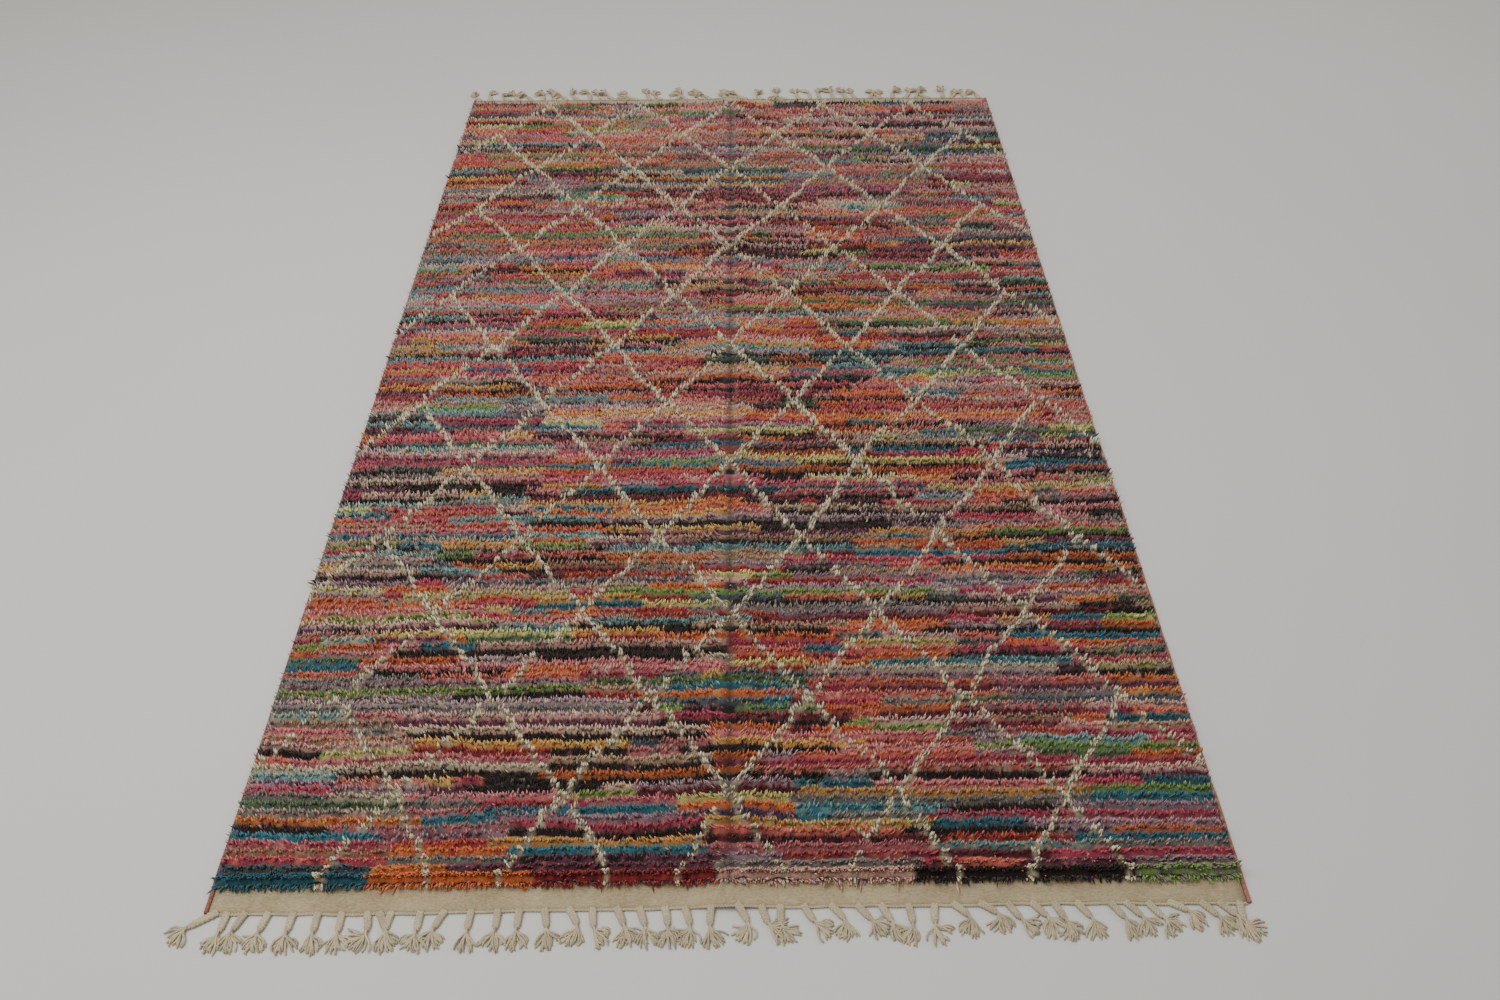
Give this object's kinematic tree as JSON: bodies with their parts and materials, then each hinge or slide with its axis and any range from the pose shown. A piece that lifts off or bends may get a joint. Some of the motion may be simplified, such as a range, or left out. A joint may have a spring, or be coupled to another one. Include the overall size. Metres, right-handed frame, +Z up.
{
  "type": "moroccan rug",
  "caption": "Hand-knotted wool shag rug with a cream diamond trellis over striped rows, flat-woven ends, corded sides and braided tassels.",
  "frame": {"origin": "on the floor under the middle of the rug, fringe included", "axes": "+X across the rug to its right side, +Y along it away from the near end, +Z up out of the pile"},
  "size_m": [1.5664, 2.5717, 0.0283],
  "materials": {
    "woven_ground": "undyed flat-woven wool, matt",
    "wool_pile": "long knotted wool in striped rows with a cream trellis, matt",
    "edge_cord": "overcast salmon pink wool, matt",
    "tassel_yarn": "cream braided and cut yarn, matt"
  },
  "bodies": {
    "root": {"ground_weave": "woven_ground", "pile_field": "wool_pile", "selvedge_left": "edge_cord", "selvedge_right": "edge_cord", "fringe_near": "tassel_yarn", "fringe_far": "tassel_yarn"}
  },
  "joints": []
}
